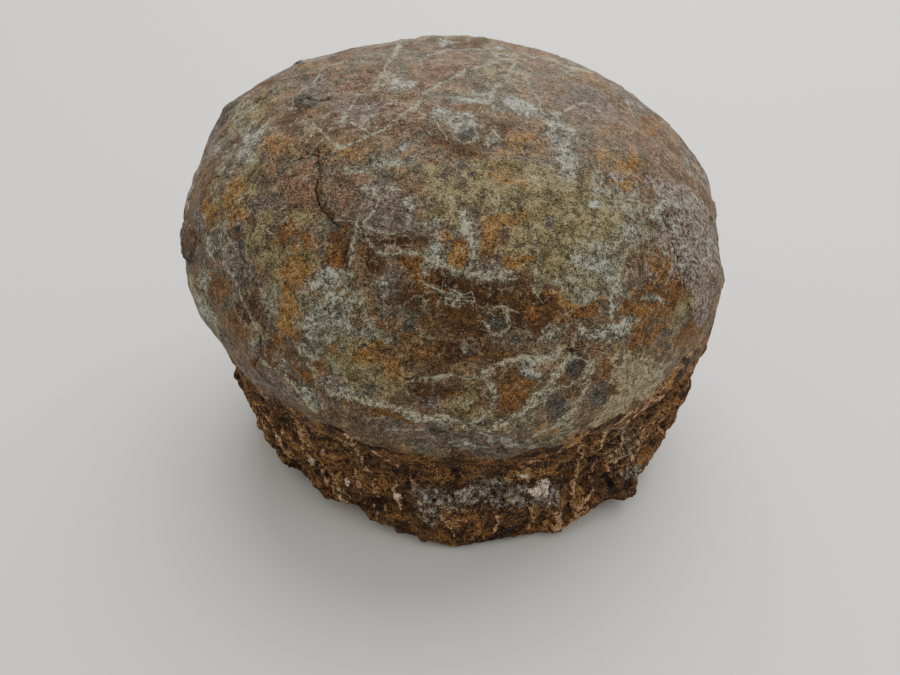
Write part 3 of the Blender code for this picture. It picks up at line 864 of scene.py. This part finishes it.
def dress_rock(egg):
    """The rock: remeshed from the CAD, cut away under the shell, with its patches and relief."""
    base = applied(
        filled_seat(welded(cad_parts["matrix"]), welded(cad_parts["egg"])), "rock base",
        ("REMESH", {"mode": "VOXEL", "voxel_size": ROCK_VOXEL}),
        ("SMOOTH", {"factor": 0.5, "iterations": ROCK_SMOOTHING}))
    shell = tree_of(egg.data)
    cut_away(base, lambda place: deep_inside(shell, place, SEAT_DEPTH), True)
    skin = points_of(base)
    outward = points_of(base, "normal")
    to_shell = np.array([shell.find_nearest(Vector(p))[3] for p in skin.tolist()])
    tree = tree_of(base)

    wander = drift(skin, *WANDER)
    strayed = skin + ROCK_STRAY * MM * wander
    fields = {kind: patch_field(strayed, listed(places), tree, ROCK_HOME)
              for kind, places in ROCK_PATCHES.items()}
    azimuth = np.degrees(np.arctan2(skin[:, 0], -skin[:, 1]))
    fibrous = 0.25 + 0.75 * eased(np.abs(azimuth + FRONT_TURN), *FIBROUS_FROM)
    fibrous -= 0.60 * eased(np.abs(azimuth), *FIBROUS_TO)
    relief, pits, ribs = rock_relief(skin, wander, fields, fibrous, tree)

    side = eased(to_shell, *SHELL_FADE) * eased(skin[:, 2], *GROUND_FADE)
    placed = skin + outward * (relief * side)[:, None]
    placed[:, 2] = np.where(skin[:, 2] < ROCK_FOOT * MM, 0.0, np.maximum(placed[:, 2], 0.0))
    move_points(base, placed)
    fields.update(relief=relief / MM + ROCK_INSET, pits=pits * side, fibrous=fibrous, ribs=ribs)
    for kind, field in fields.items():
        write_field(base, kind, field)
    cut_away(base, lambda place: place.z <= 0.0, False)
    base.shade_smooth()
    rock = placed_piece("rock_matrix", base, rock_material())
    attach(rock, "root")
    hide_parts("matrix")


# -- Materials --
class Shading:
    """A Principled material's node tree, with short calls for the nodes that it uses."""

    def __init__(self, name):
        self.material = bpy.data.materials.new(name)
        self.material.use_nodes = True
        self.nodes = self.material.node_tree.nodes
        self.links = self.material.node_tree.links
        self.shader = self.nodes["Principled BSDF"]
        self.place = self.vector("MULTIPLY", self.add("TexCoord").outputs["Object"], (1.0 / MM,) * 3)

    def put(self, socket, value):
        """Fill a socket with another node's output, a colour's name, or a value."""
        value = COLOURS[value] if isinstance(value, str) else value
        if isinstance(value, bpy.types.NodeSocket):
            self.links.new(value, socket)
        elif isinstance(value, tuple) and socket.type == "RGBA":
            socket.default_value = (*value, 1.0)
        else:
            socket.default_value = value

    def add(self, kind, *values, sockets=(), **settings):
        """A node with its settings, and its sockets filled in order or by name."""
        node = self.nodes.new("ShaderNode" + kind)
        for name, value in settings.items():
            setattr(node, name, value)
        for socket, value in zip(node.inputs, values):
            self.put(socket, value)
        for name, value in sockets:
            self.put(node.inputs[name], value)
        return node

    def vector(self, operation, first, second, output="Vector"):
        return self.add("VectorMath", first, second, operation=operation).outputs[output]

    def math(self, operation, first, second=0.0):
        return self.add("Math", first, second, operation=operation).outputs[0]

    def times(self, first, second):
        return self.math("MULTIPLY", first, second)

    def plus(self, first, second):
        return self.math("ADD", first, second)

    def swing(self, value, amount):
        """How far a value is from a half, times an amount."""
        return self.times(self.math("SUBTRACT", value, 0.5), amount)

    def grey(self, value):
        """A grey as bright as the value."""
        return self.add("CombineColor", value, value, value).outputs["Color"]

    def field(self, name):
        return self.add("Attribute", attribute_name=name).outputs["Fac"]

    def noise(self, size, detail=2.0, rough=0.5, place=None, bend=0.0, output="Fac"):
        """Noise from 0 to 1 with lumps of a size in millimetres."""
        sockets = [("Scale", 1.0 / size), ("Detail", detail), ("Roughness", rough), ("Distortion", bend)]
        return self.add("TexNoise", place or self.place, sockets=sockets).outputs[output]

    def bent(self, size, amount, place=None):
        """Places pushed about by noise, both in millimetres."""
        offset = self.vector("SUBTRACT", self.noise(size, output="Color"), (0.5, 0.5, 0.5))
        return self.vector("ADD", place or self.place, self.vector("MULTIPLY", offset, (2.0 * amount,) * 3))

    def voronoi(self, size, place, feature="F1"):
        return self.add("TexVoronoi", place, sockets=[("Scale", 1.0 / size)], feature=feature)

    def cells(self, size, place):
        """Scattered cells of a size: the distance from their edges and three numbers for each cell."""
        edge = self.voronoi(size, place, "DISTANCE_TO_EDGE").outputs["Distance"]
        colour = self.voronoi(size, place).outputs["Color"]
        return edge, list(self.add("SeparateColor", colour).outputs)

    def holes(self, size, place):
        """The distance from the nearest scattered seed, in sizes."""
        return self.voronoi(size, place).outputs["Distance"]

    def rise(self, value, low, high, start=0.0, end=1.0):
        """A smooth rise from start to end as value goes from low to high."""
        names = ("Value", "From Min", "From Max", "To Min", "To Max")
        sockets = zip(names, (value, low, high, start, end))
        return self.add("MapRange", sockets=sockets, interpolation_type="SMOOTHSTEP").outputs["Result"]

    def mix(self, factor, first, second, how="MIX"):
        sockets = [(0, factor), (6, first), (7, second)]
        return self.add("Mix", sockets=sockets, data_type="RGBA", blend_type=how).outputs[2]

    def finish(self, colour, rough, gloss, *bumps):
        """Fill the shader's sockets. Each bump is a height, its depth in millimetres and its strength."""
        under = []
        for height, depth, strength in bumps:
            sockets = [("Height", height), ("Distance", depth * MM), ("Strength", strength), *under]
            under = [("Normal", self.add("Bump", sockets=sockets).outputs["Normal"])]
        filled = [("Base Color", colour), ("Roughness", rough), ("Specular IOR Level", gloss)]
        for name, value in filled + under:
            self.put(self.shader.inputs[name], value)
        return self.material


def shell_material():
    s = Shading("fossil eggshell")
    speck = s.noise(0.38, 2.0, 0.7)
    fine = s.noise(1.1, 4.0, 0.65)
    blotch = s.noise(2.1, 4.0, 0.6)
    mid = s.noise(3.8, 5.0, 0.62)
    broad = s.noise(15.0, 4.0, 0.6)
    tones = {"fine": fine, "blotch": blotch, "mid": mid}
    torn = s.bent(5.0, 3.4, s.bent(1.3, 0.8))
    edge, plate = s.cells(9.5, torn)
    edge_small, chip = s.cells(4.2, torn)
    rough = s.plus(s.swing(mid, 1.5), s.swing(fine, 0.6))

    def ragged(kind, channel):
        """A kind's patches with torn edges, which follow the shell's plates and chips."""
        own = s.plus(s.swing(plate[channel], 0.20), s.swing(chip[channel], 0.14))
        return s.plus(s.field(kind), s.times(s.plus(own, rough), s.rise(s.field(kind), 0.0, 0.25)))

    def across(kind, least, most):
        """How many of its own half-widths the nearest line of a kind is away."""
        half = s.times(s.field(kind + "_half"), s.rise(mid, 0.38, 0.62, least, most))
        return s.math("DIVIDE", s.math("ABSOLUTE", s.field(kind + "_signed")), half)

    colour = s.mix(s.rise(plate[0], 0.2, 0.8), "shell brown", "shell grey")
    warm = s.plus(mid, s.times(chip[1], 0.1))
    colour = s.mix(s.rise(warm, 0.52, 0.64, 0.0, 0.8), colour, "shell warm")
    for kind, channel, low, high, most, dark, light, by in SHELL_COATS:
        coat = s.mix(s.rise(tones[by], 0.38, 0.58), dark, light)
        colour = s.mix(s.rise(ragged(kind, channel), low, high, 0.0, most), colour, coat)
    bare = s.rise(s.field("umber"), 0.2, 0.8, 1.0, 0.3)
    web = s.times(s.rise(edge, 0.02, 0.14, 0.22, 0.0), s.rise(mid, 0.38, 0.60))
    web_small = s.times(s.rise(edge_small, 0.02, 0.12, 0.18, 0.0), s.rise(mid, 0.42, 0.62))
    crusted = s.plus(ragged("crust", 0), s.times(bare, s.plus(web, web_small)))
    colour = s.mix(s.rise(crusted, 0.14, 0.70, 0.0, 0.70), colour, "crust dark")
    flaked = s.plus(crusted, s.swing(fine, 1.9))
    colour = s.mix(s.rise(flaked, 0.62, 1.05, 0.0, 0.70), colour, "crust")

    net = s.times(s.rise(edge, 0.010, 0.050, 1.0, 0.0), s.rise(broad, 0.44, 0.60, 0.0, 0.45))
    net_small = s.times(s.rise(edge_small, 0.015, 0.070, 1.0, 0.0), s.rise(broad, 0.52, 0.42, 0.0, 0.40))
    colour = s.mix(s.times(s.math("MAXIMUM", net, net_small), s.rise(fine, 0.40, 0.56)), colour, "vein")
    vein = across("vein", 0.6, 1.9)
    close = s.rise(s.field("vein_near"), 1.2, 2.4, 1.0, 0.0)
    veil = s.times(s.times(s.rise(vein, 0.6, 3.4, 0.55, 0.0), close), s.rise(blotch, 0.36, 0.56, 0.4, 1.0))
    colour = s.mix(veil, colour, "vein dark")
    line = s.times(s.times(s.rise(vein, 0.4, 1.6, 1.0, 0.0), close), s.rise(fine, 0.38, 0.54, 0.25, 0.92))
    colour = s.mix(line, colour, s.mix(s.rise(s.field("vein_half"), 0.38, 0.60), "vein", "vein pale"))

    grain = s.plus(s.plus(s.swing(speck, 3.2), s.swing(fine, 2.1)), s.swing(mid, 1.0))
    colour = s.mix(1.0, colour, s.grey(s.rise(grain, -0.62, 0.62, 0.22, 1.78)), "MULTIPLY")
    flecked = s.times(s.rise(speck, 0.58, 0.66), s.rise(s.plus(mid, fine), 0.94, 1.14, 0.05, 0.60))
    colour = s.mix(s.times(flecked, bare), colour, "fleck")
    dot = s.times(s.rise(s.holes(1.7, s.bent(1.5, 0.6)), 0.20, 0.12), s.rise(broad, 0.44, 0.56, 0.0, 0.7))
    colour = s.mix(dot, colour, "pit")
    near = s.rise(s.field("crack_near"), 1.0, 1.8, 1.0, 0.0)
    crack = s.times(s.rise(across("crack", 0.5, 1.8), 0.5, 1.4, 1.0, 0.0), near)
    colour = s.mix(s.times(crack, 0.92), colour, "pit")
    return s.finish(colour, s.rise(fine, 0.35, 0.65, 0.58, 0.85), 0.18,
                    (mid, 1.2, 0.5), (fine, 0.55, 0.7), (speck, 0.20, 0.6))


def rock_material():
    s = Shading("siltstone matrix")

    def stretched(stretch):
        """Places drawn out along the rock's beds."""
        normal = tuple(BED_NORMAL)
        rise = s.times(s.vector("DOT_PRODUCT", s.place, normal, "Value"), 1.0 - 1.0 / stretch)
        rise = s.add("CombineXYZ", rise, rise, rise).outputs["Vector"]
        along = s.vector("MULTIPLY", s.place, (1.0 / stretch,) * 3)
        return s.vector("ADD", along, s.vector("MULTIPLY", rise, normal))

    speck = s.noise(0.40, 2.0, 0.7)
    fine = s.noise(0.9, 4.0, 0.65, stretched(2.2))
    mid = s.noise(3.0, 5.0, 0.62, stretched(1.8))
    broad = s.noise(11.0, 3.0, 0.55)
    fibre = s.noise(1.2, 3.0, 0.65, stretched(BED_STRETCH), 0.3)
    rough = s.plus(s.swing(mid, 1.8), s.swing(fine, 1.2))

    def mask(kind, low=0.34, high=0.56, most=1.0):
        return s.rise(s.plus(s.field(kind), rough), low, high, 0.0, most)

    rusty = s.plus(mid, s.times(broad, 0.6))
    colour = s.mix(s.rise(rusty, 0.70, 0.90), "rock brown", "rock rust")
    colour = s.mix(s.rise(mid, 0.48, 0.36, 0.0, 0.7), colour, "rock dark")
    colour = s.mix(s.rise(fine, 0.47, 0.36, 0.0, 0.7), colour, "rock dark")
    tan = s.times(s.rise(fibre, 0.52, 0.62), s.field("fibrous"))
    tan = s.times(tan, s.rise(broad, 0.36, 0.54, 0.3, 1.0))
    colour = s.mix(s.times(tan, 0.75), colour, "rock tan")
    # Painted shade: the rock is darkened towards its dark tone where its relief sinks below the CAD
    # surface, deepest in its hollows, pits and troughs.
    colour = s.mix(s.rise(s.field("relief"), -0.1, -1.6, 0.0, 0.85), colour, "rock dark")
    ashen = s.mix(s.rise(fine, 0.47, 0.60), "rock mauve", "rock green")
    seam, _ = s.cells(4.5, s.bent(3.0, 2.0))
    ashen = s.mix(s.rise(seam, 0.02, 0.12, 0.8, 0.0), ashen, "rock brown")
    colour = s.mix(mask("ashen", 0.28, 0.68, 0.9), colour, ashen)
    colour = s.mix(mask("tan", most=0.8), colour, "rock tan")
    ribbed = s.plus(s.field("ribs"), s.swing(fine, 2.2))
    colour = s.mix(s.rise(ribbed, 0.50, 0.95, 0.0, 0.8), colour, "rock rib")
    colour = s.mix(s.rise(fine, 0.62, 0.70, 0.0, 0.6), colour, "rock tan")
    colour = s.mix(mask("white", 0.55, 0.85, 0.9), colour, "rock pale")
    colour = s.mix(s.rise(speck, 0.64, 0.72, 0.0, 0.5), colour, "rock pale")
    grain = s.rise(s.plus(speck, s.times(fine, 0.6)), 0.66, 0.94, 0.22, 1.86)
    colour = s.mix(1.0, colour, s.grey(grain), "MULTIPLY")
    _, pore = s.cells(2.0, s.bent(1.5, 0.6))
    hole = s.times(s.rise(s.holes(2.0, s.bent(1.5, 0.6)), 0.32, 0.20), s.rise(pore[0], 0.46, 0.52))
    colour = s.mix(s.times(hole, 0.85), colour, "pit")
    colour = s.mix(s.times(s.field("pits"), 0.8), colour, "pit")
    colour = s.mix(mask("black", 0.40, 0.54, 0.95), colour, "pit")
    return s.finish(colour, 0.80, 0.3, (mid, 1.5, 0.6), (fine, 0.8, 0.8), (speck, 0.25, 0.6))


# -- The setting --
def make_floor():
    bpy.ops.mesh.primitive_plane_add(size=FLOOR_SIZE)
    floor = bpy.context.object
    floor.name = "floor"
    floor.data.materials.append(Shading("pale table").finish("floor", 0.55, 0.5))


def area_light(name, place, aim, size, power, colour):
    data = bpy.data.lights.new(name, "AREA")
    data.shape = "DISK"
    data.size = size
    data.energy = power
    data.color = colour
    light = bpy.data.objects.new(name, data)
    light.location = place
    light.rotation_euler = (Vector(aim) - Vector(place)).to_track_quat("-Z", "Y").to_euler()
    bpy.context.scene.collection.objects.link(light)


def make_lights():
    world = bpy.data.worlds.new("soft room")
    world.use_nodes = True
    background = world.node_tree.nodes["Background"]
    background.inputs["Color"].default_value = ROOM_COLOUR
    background.inputs["Strength"].default_value = ROOM_STRENGTH
    bpy.context.scene.world = world
    for name, settings in LIGHTS.items():
        area_light(name, *settings)


def make_camera():
    data = bpy.data.cameras.new("camera")
    data.sensor_width = 36.0
    data.lens = data.sensor_width * FOCAL_PIXELS / PHOTO_WIDTH
    data.clip_start = 0.01
    camera = bpy.data.objects.new("camera", data)
    camera.location = CAMERA_PLACE
    camera.rotation_euler = (math.pi / 2 - CAMERA_PITCH, 0.0, 0.0)
    bpy.context.scene.collection.objects.link(camera)
    bpy.context.scene.camera = camera


make_camera()
make_lights()
make_floor()
fossil_egg = dress_egg()
dress_rock(fossil_egg)
